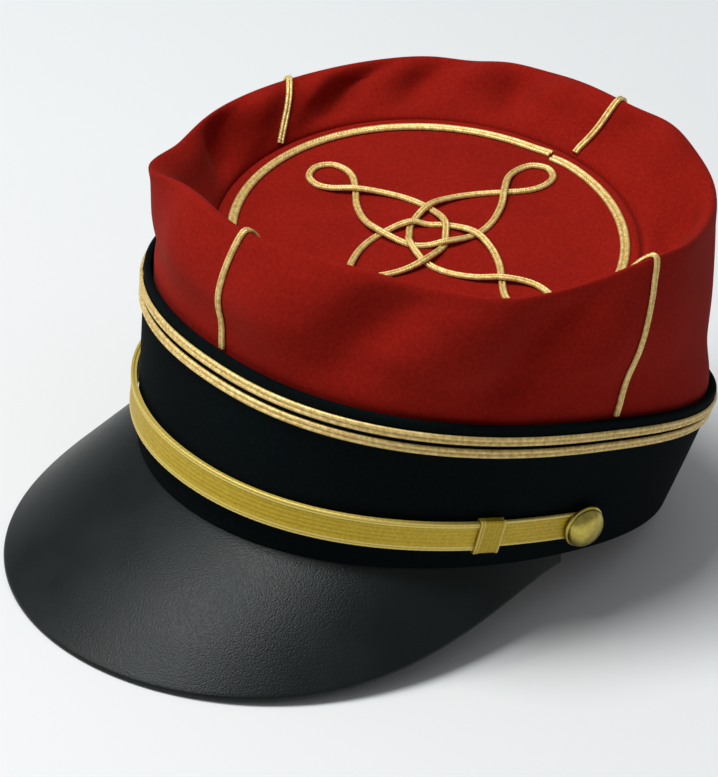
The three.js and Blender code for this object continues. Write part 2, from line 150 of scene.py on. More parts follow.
STRAP_LOW = 0.0103
STRAP_END_DROP = 0.0016         # the strap runs this much lower at the buttons
STRAP_DROP_POWER = 6
STRAP_THICKNESS = 0.0007
STRAP_OFFSET = 0.0009
STRAP_HEIGHT = 0.0104
STRAP_OVER_HEIGHT = 0.011
BUTTON_ANGLE = 87.5
STRAP_END_ANGLE = 86.5
SLIDE_ANGLE = 65.5
SLIDE_HALF_ANGLE = 2.5
SLIDE_BACK = 0.0003
SLIDE_FRONT = 0.0006
BUTTON_RADIUS = 0.0083
BUTTON_DOME = 0.0042
BUTTON_EDGE = 0.0013

BAND_CRUSH = 0.0010
VISOR_CRUSH = 0.0008

STRAP_OVER_OFFSET = STRAP_OFFSET + STRAP_THICKNESS + GAP
STRAP_FACE = STRAP_OVER_OFFSET + STRAP_THICKNESS

# ---- vector helpers ----

UP = np.array([0.0, 0.0, 1.0])


def unit(vectors):
    return vectors / np.maximum(np.linalg.norm(vectors, axis=-1, keepdims=True), 1e-12)


def smooth(x):
    x = np.clip(x, 0, 1)
    return x * x * (3 - 2 * x)


def column(table, key):
    """Smooth closed curve of a table column against its evenly spaced angles."""
    values = np.array([row[key] for row in table], float)
    count = len(values)

    def at(angle):
        place = np.mod(angle, 360) / (360 / count)
        i = np.floor(place).astype(int) % count
        u = place - np.floor(place)
        a, b, c, d = [values[(i + k) % count] for k in (-1, 0, 1, 2)]
        return b + 0.5 * u * (c - a + u * (2 * a - 5 * b + 4 * c - d + u * (3 * (b - c) + d - a)))

    return at


def spline(controls, stations, closed=False):
    """Centripetal Catmull-Rom curve through controls (k, ..., 3), one station per control."""
    count = len(controls)
    stations = np.asarray(stations, float)
    i = np.floor(stations).astype(int)
    if not closed:
        i = np.minimum(i, count - 2)
    u = stations - i
    if closed:
        p = [controls[(i + k) % count] for k in (-1, 0, 1, 2)]
    else:
        first = 2 * controls[0] - controls[1]
        last = 2 * controls[-1] - controls[-2]
        padded = np.concatenate([first[None], controls, last[None]])
        p = [padded[i + k] for k in (0, 1, 2, 3)]
    gaps = [np.linalg.norm(p[k + 1] - p[k], axis=-1, keepdims=True) for k in range(3)]
    d0, d1, d2 = [np.maximum(gap ** 0.5, 1e-6) for gap in gaps]
    start = ((p[1] - p[0]) / d0 - (p[2] - p[0]) / (d0 + d1) + (p[2] - p[1]) / d1) * d1
    end = ((p[2] - p[1]) / d1 - (p[3] - p[1]) / (d1 + d2) + (p[3] - p[2]) / d2) * d1
    u = u.reshape((-1,) + (1,) * (p[1].ndim - 1))
    return (
        p[1]
        + start * u
        + (3 * (p[2] - p[1]) - 2 * start - end) * u ** 2
        + (2 * (p[1] - p[2]) + start + end) * u ** 3
    )


def distance_along(path):
    """Distance from the path's start at each of its points."""
    return np.concatenate([[0], np.cumsum(np.linalg.norm(np.diff(path, axis=0), axis=1))])


def gradient_around(points, closed):
    """Difference between each point's neighbours, around the join where the path is closed."""
    if closed:
        return np.roll(points, -1, 0) - np.roll(points, 1, 0)
    return np.gradient(points, axis=0)


# ---- band ----

def oval(shape, angle):
    angle = np.radians(angle)
    c, s = np.cos(angle), np.sin(angle)
    size = (np.abs(c) ** shape["power"] + np.abs(s) ** shape["power"]) ** (-1 / shape["power"])
    x = shape["half_width"] * size * s * (1 - shape["egg"] * c)
    y = shape["y"] - shape["half_length"] * size * c
    return np.stack([x, y, np.zeros_like(x)], -1)


def oval_outward(shape, angle):
    along = oval(shape, angle + 1) - oval(shape, angle - 1)
    return unit(np.stack([along[..., 1], -along[..., 0], np.zeros_like(along[..., 0])], -1))


def band_bottom(angle):
    point = oval(BAND_BOTTOM, angle)
    a = np.radians(angle)
    point[..., 2] = BAND_BACK_RISE * (1 - np.cos(a)) / 2 + BAND_SIDE_RISE * np.sin(a) ** 2
    return point


def band_top(angle):
    point = oval(BAND_TOP, angle)
    a = np.radians(angle)
    point[..., 2] = BAND_TOP_HEIGHT + BAND_TOP_FRONT_RISE * np.cos(a) - BAND_TOP_SIDE_RISE * np.cos(2 * a)
    return point


def band_frame(angle):
    low, high = band_bottom(angle), band_top(angle)
    up = unit(high - low)
    along = unit(band_bottom(angle + 1) + band_top(angle + 1) - band_bottom(angle - 1) - band_top(angle - 1))
    out = unit(np.cross(along, up))
    return {"low": low, "up": up, "out": out, "along": along, "height": np.linalg.norm(high - low, axis=-1)}


def band_point(angle, height, offset):
    f = band_frame(angle)
    height = np.broadcast_to(height, angle.shape)[..., None]
    offset = np.broadcast_to(offset, angle.shape)[..., None]
    return f["low"] + f["up"] * height + f["out"] * offset


def strap_middle(angle):
    """Height of the strap's middle line above the band's lower edge."""
    share = np.abs(np.asarray(angle) / BUTTON_ANGLE)
    return STRAP_LOW + STRAP_OVER_HEIGHT / 2 - STRAP_END_DROP * share ** STRAP_DROP_POWER


# ---- crown ----

crest_height = column(CROWN_SECTIONS, "crest")
crest_lean = column(CROWN_SECTIONS, "lean_in")
wall_bow = column(CROWN_SECTIONS, "bow")


def folded(angle, key):
    total = 0
    for fold in CROWN_FOLDS:
        away = np.mod(angle - fold["angle"] + 540, 360) - 180
        total = total + fold[key] * np.exp(-(away / fold["spread"]) ** 2)
    return total


def top_to_cap(points):
    """From the sunken top's own flat frame to the cap's frame."""
    c, s = math.cos(TOP_TILT), math.sin(TOP_TILT)
    x, y, z = points[..., 0], points[..., 1], points[..., 2]
    return np.stack([x, c * y - s * z, s * y + c * z], -1) + TOP_CENTRE


def top_rim(angle, extra, depth):
    a = np.radians(angle)
    x = (RING_HALF_WIDTH * TOP_SCALE + extra) * np.sin(a)
    y = -(RING_HALF_LENGTH * TOP_SCALE + extra) * np.cos(a)
    return top_to_cap(np.stack([x, y, np.full_like(x, -depth)], -1))


def crown_controls(angle):
    out = oval_outward(BAND_TOP, angle)
    base = band_top(angle) - out * CROWN_INSET
    hem = band_point(angle, band_frame(angle)["height"] - CROWN_HEM, 0) - out * CROWN_INSET
    seam, end = top_rim(angle, GAP, 0), top_rim(angle, GAP, SEAM_DEPTH)
    rise = crest_height(angle) + folded(angle, "crest_up") - base[..., 2]
    lean = crest_lean(angle) - folded(angle, "crest_out")
    bow = wall_bow(angle) + folded(angle, "wall_out")

    def wall(outward, height):
        return base + out * outward[..., None] + UP * height[..., None]

    crest = wall(-lean, rise)

    def inside(share, drop):
        point = crest + share * (seam - crest)
        point[..., 2] = crest[..., 2] + drop * (seam[..., 2] - crest[..., 2])
        return point

    middle = wall(bow - 0.4 * lean, 0.45 * rise)
    shoulder = wall(0.6 * bow - 0.8 * lean, 0.85 * rise)
    roll, fold = inside(*RIM_ROLL), inside(*RIM_FOLD)
    return np.stack([hem, base, middle, shoulder, crest, roll, fold, seam, end])


CROWN_END = 8
CREST_STATION = 4
BASE_TUCK = 0.0014              # the cloth dips in just above the band
# Soft dents and rolls of the crown cloth. Stations along it: 1 band, 2 bow, 3 shoulder, 4 crest,
# 5 roll, 6 fold, 7 seam. slant is how many degrees a dent drifts around the cap for each station.
CROWN_DENTS = [
    {"angle": 34, "station": 2.4, "spread": 7, "reach": 0.95, "slant": 6, "push": -0.0060},
    {"angle": 14, "station": 2.2, "spread": 10, "reach": 0.9, "slant": 0, "push": 0.0030},
    {"angle": 50, "station": 2.7, "spread": 8, "reach": 0.9, "slant": -5, "push": 0.0030},
    {"angle": 67, "station": 2.3, "spread": 7, "reach": 0.95, "slant": 4, "push": -0.0058},
    {"angle": 84, "station": 2.4, "spread": 7, "reach": 1.0, "slant": 0, "push": 0.0018},
    {"angle": 340, "station": 2.2, "spread": 11, "reach": 0.9, "slant": 0, "push": 0.0016},
    {"angle": 293, "station": 5.6, "spread": 6, "reach": 1.2, "slant": 0, "push": -0.0056},
    {"angle": 278, "station": 5.3, "spread": 6, "reach": 1.1, "slant": 0, "push": 0.0026},
    {"angle": 262, "station": 5.3, "spread": 5, "reach": 1.0, "slant": 3, "push": 0.0030},
    {"angle": 251, "station": 5.4, "spread": 5, "reach": 1.1, "slant": 3, "push": -0.0050},
    {"angle": 233, "station": 5.4, "spread": 5, "reach": 1.1, "slant": 0, "push": -0.0048},
    {"angle": 220, "station": 5.3, "spread": 6, "reach": 1.0, "slant": 0, "push": 0.0032},
    {"angle": 208, "station": 5.4, "spread": 5, "reach": 1.1, "slant": -2, "push": -0.0050},
    {"angle": 196, "station": 5.3, "spread": 6, "reach": 1.0, "slant": 0, "push": 0.0026},
    {"angle": 174, "station": 5.5, "spread": 6, "reach": 1.1, "slant": 0, "push": -0.0042},
    {"angle": 155, "station": 5.2, "spread": 7, "reach": 1.0, "slant": 0, "push": 0.0026},
    {"angle": 130, "station": 6.0, "spread": 10, "reach": 1.1, "slant": 0, "push": -0.0062},
    {"angle": 108, "station": 6.0, "spread": 7, "reach": 1.0, "slant": 0, "push": -0.0030},
    {"angle": 150, "station": 2.4, "spread": 14, "reach": 1.2, "slant": 4, "push": -0.0018},
    {"angle": 200, "station": 2.3, "spread": 15, "reach": 1.2, "slant": -4, "push": -0.0016},
    {"angle": 250, "station": 2.3, "spread": 13, "reach": 1.1, "slant": 3, "push": -0.0018},
]


def crown_surface(angle, stations):
    """Outer face of the crown cloth (stations, angles, 3) with its dents, and the way it faces."""
    points = spline(crown_controls(angle), stations)
    ahead = spline(crown_controls(angle + 1), stations)
    behind = spline(crown_controls(angle - 1), stations)
    later = spline(crown_controls(angle), np.minimum(stations + 0.01, CROWN_END))
    earlier = spline(crown_controls(angle), np.maximum(stations - 0.01, 0))
    face = unit(np.cross(ahead - behind, later - earlier))
    push = np.zeros(points.shape[:2])
    for dent in CROWN_DENTS:
        level = stations[:, None] - dent["station"]
        away = np.mod(angle[None, :] - dent["angle"] - dent["slant"] * level + 540, 360) - 180
        push += dent["push"] * np.exp(-(away / dent["spread"]) ** 2 - (level / dent["reach"]) ** 2)
    # The dents fade out at the band, at the seam and along the crest.
    held = smooth((stations - 1.0) / 0.7) * smooth((7.0 - stations) / 0.7)
    held *= 1 - np.exp(-((stations - CREST_STATION) / 0.6) ** 2)
    push -= BASE_TUCK * np.exp(-((stations[:, None] - 1.5) / 0.4) ** 2)
    return points + face * (push * held[:, None])[..., None], face


# ---- the sunken top's cloth ----

def top_height(x, y):
    """Height of the top's cloth over its flat plane: a soft swell, a raised margin and a tucked rim."""
    radius = np.hypot(x / RING_HALF_WIDTH, y / RING_HALF_LENGTH)
    turn = np.arctan2(x, -y)
    swell = 0.0005 * np.cos(2 * turn + 0.6) * radius + 0.0003 * np.sin(3 * turn) * radius ** 2
    margin = 0.0006 * np.exp(-((radius - 1.055) / 0.03) ** 2)
    tuck = -0.0011 * smooth((radius - 1.065) / (TOP_SCALE - 1.065))
    return swell * (1 - smooth((radius - 0.9) / 0.2)) + margin + tuck


# ---- visor ----

def visor_point(angle, part, depth):
    """Point part of the way from the band to the free edge; below 0 is the lip under the band."""
    share = angle / VISOR_HALF_ANGLE
    taper = np.abs(np.cos(np.pi / 2 * share)) ** VISOR_TAPER
    width = VISOR_END_WIDTH + (VISOR_WIDTH - VISOR_END_WIDTH) * taper
    droop = np.radians(VISOR_DROOP + VISOR_SIDE_DROOP * share ** 2)[..., None]
    level = oval_outward(BAND_BOTTOM, angle)
    down = level * np.cos(droop) - UP * np.sin(droop)
    face = level * np.sin(droop) + UP * np.cos(droop)
    root = band_bottom(angle) - UP * GAP
    if part < 0:
        root = root - level * VISOR_TUCK
    else:
        root = root + down * (width * part)[..., None]
    return root - face * depth


# ---- resting on the table ----

def lean_angle():
    back = band_bottom(np.array(180.0))
    front = visor_point(np.array(0.0), 1, VISOR_THICKNESS)
    rise = back[2] + BAND_CRUSH - front[2] - VISOR_CRUSH
    return math.atan2(rise, back[1] - front[1])


LEAN = lean_angle()


def lean_back(points):
    c, s = math.cos(LEAN), math.sin(LEAN)
    x, y, z = points[..., 0], points[..., 1], points[..., 2]
    return np.stack([x, c * y + s * z, -s * y + c * z], -1)


def find_offset():
    """Shift that puts the leaned sunken top where the CAD model has it."""
    low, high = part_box("crown_top")
    turn = np.linspace(0, 360, 721)
    rim = np.concatenate([lean_back(top_rim(turn, -GAP, 0)), lean_back(top_rim(turn, -GAP, TOP_THICKNESS))])
    return (np.array(low) + np.array(high)) / 2 - (rim.min(0) + rim.max(0)) / 2


OFFSET = find_offset()


def settle(points):
    """Lean the cap back onto the table and press what would be below it flat."""
    placed = lean_back(points) + OFFSET
    placed[..., 2] = np.maximum(placed[..., 2], 0)
    return placed


# ---- meshes ----

def add_mesh(name, vertices, faces, uvs=None, sharp=50):
    data = bpy.data.meshes.new(name)
    data.from_pydata(settle(vertices).tolist(), [], faces)
    if uvs is not None:
        layer = data.uv_layers.new(name="UVMap")
        loops = np.empty(len(data.loops), np.int64)
        data.loops.foreach_get("vertex_index", loops)
        layer.data.foreach_set("uv", uvs[loops].astype(np.float32).ravel())
    data.validate()
    data.shade_smooth()
    data.set_sharp_from_angle(angle=math.radians(sharp))
    piece = bpy.data.objects.new(name, data)
    bpy.context.scene.collection.objects.link(piece)
    return piece


def loft(name, outer, inner, ringed, uvs=None, sharp=50):
    """Closed mesh through sections: outer and inner are (sections, points, 3)."""
    rows = np.concatenate([outer, inner[:, ::-1]], axis=1)
    sections, size = rows.shape[:2]
    half = size // 2
    i = np.arange(sections if ringed else sections - 1)[:, None]
    j = np.arange(size)[None, :]
    k = (j + 1) % size
    here, there = i * size, ((i + 1) % sections) * size
    quads = np.stack([here + j, there + j, there + k, here + k], -1).reshape(-1, 4)
    if not ringed:
        j = np.arange(half - 1)
        near = np.stack([j, j + 1, size - 2 - j, size - 1 - j], -1)
        far = near[:, ::-1] + (sections - 1) * size
        quads = np.concatenate([quads, near, far])
    points = rows.reshape(-1, 3)
    a, b, c, d = [points[quads[:, n]] for n in range(4)]
    volume = np.sum(a * np.cross(b, c)) + np.sum(a * np.cross(c, d))
    if volume < 0:
        quads = quads[:, ::-1]
    flat = None if uvs is None else np.concatenate([uvs, uvs[:, ::-1]], axis=1).reshape(-1, 2)
    return add_mesh(name, points, quads.tolist(), flat, sharp)


def grid_uvs(along, across):
    a, b = np.meshgrid(along, across, indexing="ij")
    return np.stack([a, b], -1)


# ---- flat braid: two twisted cords side by side ----

TWIST_PITCH = 0.0012
TWIST_RELIEF = 0.00005
BRAID_STEP = 0.00032
BRAID_ACROSS = 9                # points across a braid


def braid_profile(count):
    """Across position from -1 to 1 and height from 0 to 1 of a two-ridged braid."""
    across = np.linspace(-1, 1, count)
    ridge = 0.42 + 0.58 * np.abs(np.sin(np.pi * across)) ** 0.8
    return across, ridge


def braid(name, points, faces, width, ringed):
    """Soutache along a route lying on a surface whose outward direction is given."""
    path = np.concatenate([points, faces], axis=1)
    if ringed:
        path = np.concatenate([path, path[:1]])
    run = distance_along(path[:, :3])
    steps = max(16, int(round(run[-1] / BRAID_STEP)))
    at = np.linspace(0, run[-1], steps + 1)
    if ringed:
        at = at[:-1]
    even = np.stack([np.interp(at, run, path[:, k]) for k in range(6)], -1)
    point, face = even[:, :3], unit(even[:, 3:])
    tangent = unit(gradient_around(point, ringed))
    side = unit(np.cross(face, tangent))
    face = np.cross(tangent, side)
    across, ridge = braid_profile(BRAID_ACROSS)
    turns = max(1, round(run[-1] / TWIST_PITCH))
    phase = 2 * np.pi * (at[:, None] / run[-1] * turns + 0.55 * np.abs(across)[None, :])
    relief = TWIST_RELIEF * np.sin(phase) * (1 - 0.5 * np.abs(across)[None, :] ** 6)
    height = GAP + BRAID_THICKNESS * ridge[None, :] + relief
    flat = point[:, None] + side[:, None] * (across * width / 2)[None, :, None]
    outer = flat + face[:, None] * height[..., None]
    inner = flat + face[:, None] * GAP
    return loft(name, outer, inner, ringed, grid_uvs(at, across * width / 2), sharp=75)


# ---- pieces ----

CROWN_TURN_STEPS = 400
CROWN_STEPS = (5, 19, 17, 13, 11, 12, 14, 6)    # steps from each station to the next
TOP_TURN_STEPS = 288
TOP_SPREAD = 0.004              # the top's cloth reaches this much further, as a share, under the wall


def build_crown_cloth():
    angle = np.linspace(0, 360, CROWN_TURN_STEPS, endpoint=False)
    parts = [i + np.arange(n) / n for i, n in enumerate(CROWN_STEPS)]
    stations = np.concatenate(parts + [[CROWN_END]])
    outer, face = crown_surface(angle, stations)
    inner = outer - face * CROWN_THICKNESS
    return loft("crown_cloth", outer.transpose(1, 0, 2), inner.transpose(1, 0, 2), True, sharp=60)


def build_top_cloth():
    turn = np.linspace(0, 2 * np.pi, TOP_TURN_STEPS, endpoint=False)
    radii = np.concatenate([np.linspace(0.02, 1.0, 60), np.linspace(1.005, TOP_SCALE + TOP_SPREAD, 24)])
    x = radii[:, None] * RING_HALF_WIDTH * np.sin(turn)
    y = -radii[:, None] * RING_HALF_LENGTH * np.cos(turn)
    face = np.stack([x, y, top_height(x, y)], -1)
    back = np.stack([x, y, np.full_like(x, -TOP_THICKNESS)], -1)
    rings = np.concatenate([top_to_cap(face), top_to_cap(back)[::-1]])
    count, size = rings.shape[:2]
    i = np.arange(count - 1)[:, None]
    j = np.arange(size)[None, :]
    k = (j + 1) % size
    here, there = i * size, (i + 1) * size
    quads = np.stack([here + j, there + j, there + k, here + k], -1).reshape(-1, 4)
    vertices = np.concatenate([
        rings.reshape(-1, 3),
        top_to_cap(np.array([[0.0, 0.0, 0.0], [0.0, 0.0, -TOP_THICKNESS]])),
    ])
    centre, under = count * size, count * size + 1
    last = (count - 1) * size
    faces = quads.tolist()
    faces += [[centre, a, (a + 1) % size] for a in range(size)]
    faces += [[under, last + (a + 1) % size, last + a] for a in range(size)]
    return add_mesh("top_cloth", vertices, faces, sharp=60)


EDGE_STEPS = 6                  # points around each quarter of a rounded edge
BAND_LEVELS = 20


def build_band_cloth():
    """Stiff band with rounded edges and a faint waviness half way up."""
    angle = np.linspace(0, 360, 480, endpoint=False)
    f = band_frame(angle)
    half = BAND_THICKNESS / 2
    turn = np.linspace(0, np.pi / 2, EDGE_STEPS)
    low_rise, low_in = half * (1 - np.cos(turn)), half * (1 - np.sin(turn))
    height = f["height"][:, None]
    middle = np.linspace(0, 1, BAND_LEVELS + 2)[1:-1]
    levels = np.concatenate([
        np.broadcast_to(low_rise, (len(angle), EDGE_STEPS)),
        half + (height - 2 * half) * middle,
        height - low_rise[::-1],
    ], axis=1)
    inset = np.concatenate([low_in, np.zeros(BAND_LEVELS), low_in[::-1]])
    wave = 0.00025 * np.sin(np.radians(3 * angle + 40)) + 0.0002 * np.sin(np.radians(7 * angle))
    belly = np.sin(np.pi * np.clip(levels / height, 0, 1))
    outer_off = -inset[None, :] + wave[:, None] * belly
    low, up, out = f["low"][:, None], f["up"][:, None], f["out"][:, None]
    outer = low + up * levels[..., None] + out * outer_off[..., None]
    inner = low + up * levels[..., None] + out * (inset[None, :] - BAND_THICKNESS)[..., None]
    return loft("band_cloth", outer, inner, True, sharp=60)


VISOR_ARCH = 0.0012             # how far the visor's face swells half way to its edge


def build_visor_leather():
    """Arched visor with a rounded free edge."""
    angle = np.linspace(-VISOR_HALF_ANGLE, VISOR_HALF_ANGLE, 240)
    parts = np.linspace(0, 1, 44)
    turn = np.linspace(0, np.pi / 2, EDGE_STEPS)
    half = VISOR_THICKNESS / 2
    share = angle / VISOR_HALF_ANGLE
    arch = VISOR_ARCH * np.cos(np.pi / 2 * share) ** 2
    top, bottom = [visor_point(angle, -1, 0)], [visor_point(angle, -1, VISOR_THICKNESS)]
    for part in parts:
        lift = arch * math.sin(math.pi * part)
        top.append(visor_point(angle, part, -lift[:, None]))
        bottom.append(visor_point(angle, part, VISOR_THICKNESS - lift[:, None]))
    edge_top, edge_bottom = top[-1], bottom[-1]
    across = unit(edge_top - edge_bottom)
    outward = unit(edge_top - top[-2])
    middle = (edge_top + edge_bottom) / 2
    for t in turn[1:]:
        top.append(middle + across * (half * math.cos(t)) + outward * (half * math.sin(t)))
        bottom.append(middle - across * (half * math.cos(t)) + outward * (half * math.sin(t)))
    outer = np.stack(top, 1) - outward[:, None] * half
    inner = np.stack(bottom, 1) - outward[:, None] * half
    outer[:, 0] += outward * half
    inner[:, 0] += outward * half
    return loft("visor_leather", outer, inner, False, sharp=60)


def build_band_braid(name, drop):
    angle = np.linspace(0, 360, 1440, endpoint=False)
    f = band_frame(angle)
    points = band_point(angle, f["height"] - drop, 0)
    return braid(name + "_cord", points, f["out"], BAND_BRAID_WIDTH, True)


def crown_route(angle):
    stations = np.linspace(1.05, 6.85, 280)
    near, _ = crown_surface(np.array([angle - 1.0, angle, angle + 1.0]), stations)
    points = near[:, 1]
    face = unit(np.cross(near[:, 2] - near[:, 0], np.gradient(points, axis=0)))
    return points, face


def build_crown_braid(name, angle):
    points, face = crown_route(float(angle))
    return braid(name + "_cord", points, face, CROWN_BRAID_WIDTH, False)


def top_route(x, y, lift):
    points = np.stack([x, y, top_height(x, y) + lift], -1)
    normal = top_to_cap(np.array([[0, 0, 1.0]]))[0] - TOP_CENTRE
    return top_to_cap(points), np.broadcast_to(normal, points.shape)


def build_ring_braid():
    """The ring starts and ends at the back, where its two ends pass side by side and butt."""
    turn = np.linspace(0, 2 * np.pi, 1440) + math.radians(RING_JOINT_ANGLE)
    run = np.linspace(0, 1, len(turn))
    offset = RING_JOINT_OFFSET * (np.exp(-(run / RING_JOINT_LENGTH) ** 2)
                                  - np.exp(-((1 - run) / RING_JOINT_LENGTH) ** 2))
    x = (RING_HALF_WIDTH + offset) * np.sin(turn)
    y = -(RING_HALF_LENGTH + offset) * np.cos(turn)
    points, face = top_route(x, y, 0)
    return braid("top_ring_cord", points[3:-3], face[3:-3], RING_BRAID_WIDTH, False)


def build_knot_braid():
    rows = []
    for arm in range(4):
        c, s = math.cos(-arm * math.pi / 2), math.sin(-arm * math.pi / 2)
        for row in KNOT_ARM:
            u, w = row["along"] * MM, row["across"] * MM
            rows.append([c * u - s * w, s * u + c * w, row["over"] * KNOT_LIFT])
    stations = np.linspace(0, len(rows), 2400, endpoint=False)
    route = spline(np.array(rows), stations, closed=True)
    points, face = top_route(route[:, 0], route[:, 1], route[:, 2])
    return braid("top_knot_cord", points, face, KNOT_WIDTH, True)


# ---- false chin strap ----

RIB_PITCH = 0.0008
LACE_STEP = RIB_PITCH / 3
LACE_ACROSS = 33                # points across the strap
LACE_BODY = 0.68                # the ribbed body reaches this far from the middle line, of 1
RIB_RELIEF = 0.00005
RIDGE_COUNT = 7
CORD_WIDTH = 0.055
CORD_RELIEF = 0.00028
CORD_PITCH = 0.0022
# Pale cords of each piece: where they lie across it, from -1 to 1.
OVER_CORDS = (-0.94, -0.76, 0.76, 0.94)
UNDER_CORDS = (-0.94, 0.86, 0.95)
SLIDE_CORDS = (-0.92, -0.70, 0.92)
SLIDE_EASE = 0.0002             # the loop is this much taller than it needs to be
SLIDE_CORNER = 0.0004
SLIDE_CORD_SHARE = 1.3          # its cords stand this much prouder than the strap's


def cord_relief(across, cords):
    return CORD_RELIEF * sum(np.exp(-((across - at) / CORD_WIDTH) ** 2) for at in cords)


def build_strap(name, reach, height, offset, cords):
    count = int(2 * math.radians(reach) * BAND_BOTTOM["half_length"] / LACE_STEP)
    angle = np.linspace(-reach, reach, count)
    path = band_point(angle, strap_middle(angle), offset)
    run = distance_along(path)
    across = np.linspace(-1, 1, LACE_ACROSS)
    f = band_frame(angle)
    ribs = RIB_RELIEF * np.sin(2 * np.pi * run / RIB_PITCH)[:, None]
    ridges = RIB_RELIEF * np.cos(np.pi * RIDGE_COUNT * across)[None, :]
    body = (np.abs(across) < LACE_BODY)[None, :]
    twist = 1 + 0.25 * np.sin(2 * np.pi * (run[:, None] / CORD_PITCH + across[None, :]))
    relief = cord_relief(across, cords)[None, :] * twist + (ribs + ridges) * body
    low, up, out = f["low"][:, None], f["up"][:, None], f["out"][:, None]
    level = (strap_middle(angle)[:, None] + across * height / 2)[..., None]
    outer = low + up * level + out * (offset + STRAP_THICKNESS + relief)[..., None]
    inner = low + up * level + out * offset
    return loft(name, outer, inner, False, grid_uvs(run, across), sharp=80)


def rounded_loop(half, back, front, corner, steps):
    """Points and outward directions (up, out) around the strap's section."""
    points = []
    for quarter, (side, face) in enumerate(((1, 1), (-1, 1), (-1, -1), (1, -1))):
        centre_up = side * (half - corner)
        centre_out = front - corner if face > 0 else back + corner
        for turn in np.linspace(0, np.pi / 2, steps) + quarter * np.pi / 2:
            up, out = math.cos(turn), math.sin(turn)
            points.append((centre_up + corner * up, centre_out + corner * out, up, out))
    return points


def build_slide(name, angle):
    """Lace loop around both straps: a twin cord at its front edge and a single one at its back edge."""
    half = STRAP_OVER_HEIGHT / 2 + GAP + SLIDE_EASE
    loop = rounded_loop(half, STRAP_OFFSET - GAP, STRAP_FACE + GAP, SLIDE_CORNER, 5)
    across = np.linspace(-1, 1, 41)
    ends = angle + across * SLIDE_HALF_ANGLE * math.copysign(1, angle)
    f = band_frame(ends)
    relief = SLIDE_CORD_SHARE * cord_relief(across, SLIDE_CORDS)
    outer, inner = [], []
    for up_at, out_at, up_way, out_way in loop:
        wall = SLIDE_FRONT + relief if out_way > 0 else np.full_like(relief, SLIDE_BACK)
        level = (strap_middle(ends) + up_at + up_way * wall)[:, None]
        outer.append(f["low"] + f["up"] * level + f["out"] * (out_at + out_way * wall)[:, None])
        inner.append(f["low"] + f["up"] * (strap_middle(ends) + up_at)[:, None] + f["out"] * out_at)
    rim = np.linspace(0, 1, len(loop))
    return loft(name, np.array(outer), np.array(inner), True, grid_uvs(rim, across), sharp=60)


BUTTON_SHANK_RADIUS = 0.0012
BUTTON_SIDES = 96
# The dome's slight dent: its depth, where its middle lies and how far it spreads, along and up.
BUTTON_DENT = {"depth": 0.00025, "along": 0.0018, "up": 0.0012, "spread_along": 0.0022, "spread_up": 0.003}


def button_profile(back):
    """Radius and height of the button's section: its shank, rolled edge and dome."""
    roll = BUTTON_EDGE / 2
    inner = BUTTON_RADIUS - roll
    profile = [(BUTTON_SHANK_RADIUS, GAP), (BUTTON_SHANK_RADIUS, back), (inner, back)]
    for t in np.linspace(-np.pi / 2, np.pi / 2, 9):
        profile.append((BUTTON_RADIUS - roll * (1 - math.cos(t)), back + roll * (1 + math.sin(t))))
    for t in np.linspace(0.05, 0.97, 26):
        height = back + BUTTON_EDGE + BUTTON_DOME * math.sin(t * math.pi / 2)
        profile.append((inner * math.cos(t * math.pi / 2), height))
    return profile


def build_button(name, angle):
    """Plain domed button with a rolled edge and a slight dent in its dome."""
    back = STRAP_OFFSET + STRAP_THICKNESS + GAP
    sides = BUTTON_SIDES
    turn = np.linspace(0, 2 * np.pi, sides, endpoint=False)
    f = band_frame(np.array([float(angle)]))
    origin = band_point(np.array([float(angle)]), strap_middle(angle), 0)[0]
    ex, ey, ez = f["along"][0], f["up"][0], f["out"][0]
    rings = []
    for radius, height in button_profile(back):
        x, y = radius * np.cos(turn), radius * np.sin(turn)
        away_x = (x - BUTTON_DENT["along"]) / BUTTON_DENT["spread_along"]
        away_y = (y - BUTTON_DENT["up"]) / BUTTON_DENT["spread_up"]
        dent = BUTTON_DENT["depth"] * np.exp(-(away_x ** 2 + away_y ** 2))
        level = np.full_like(x, height) - (dent if height > back + BUTTON_EDGE else 0)
        rings.append(origin + x[:, None] * ex + y[:, None] * ey + level[:, None] * ez)
    count = len(rings)
    vertices = np.concatenate(rings + [
        (origin + ez * GAP)[None],
        (origin + ez * (back + BUTTON_EDGE + BUTTON_DOME))[None],
    ])
    faces = []
    for i in range(count - 1):
        for a in range(sides):
            b = (a + 1) % sides
            faces.append([i * sides + a, i * sides + b, (i + 1) * sides + b, (i + 1) * sides + a])
    under, crown = count * sides, count * sides + 1
    last = (count - 1) * sides
    faces += [[under, (a + 1) % sides, a] for a in range(sides)]
    faces += [[crown, last + a, last + (a + 1) % sides] for a in range(sides)]
    return add_mesh(name, vertices, faces, sharp=60)


# ---- materials ----

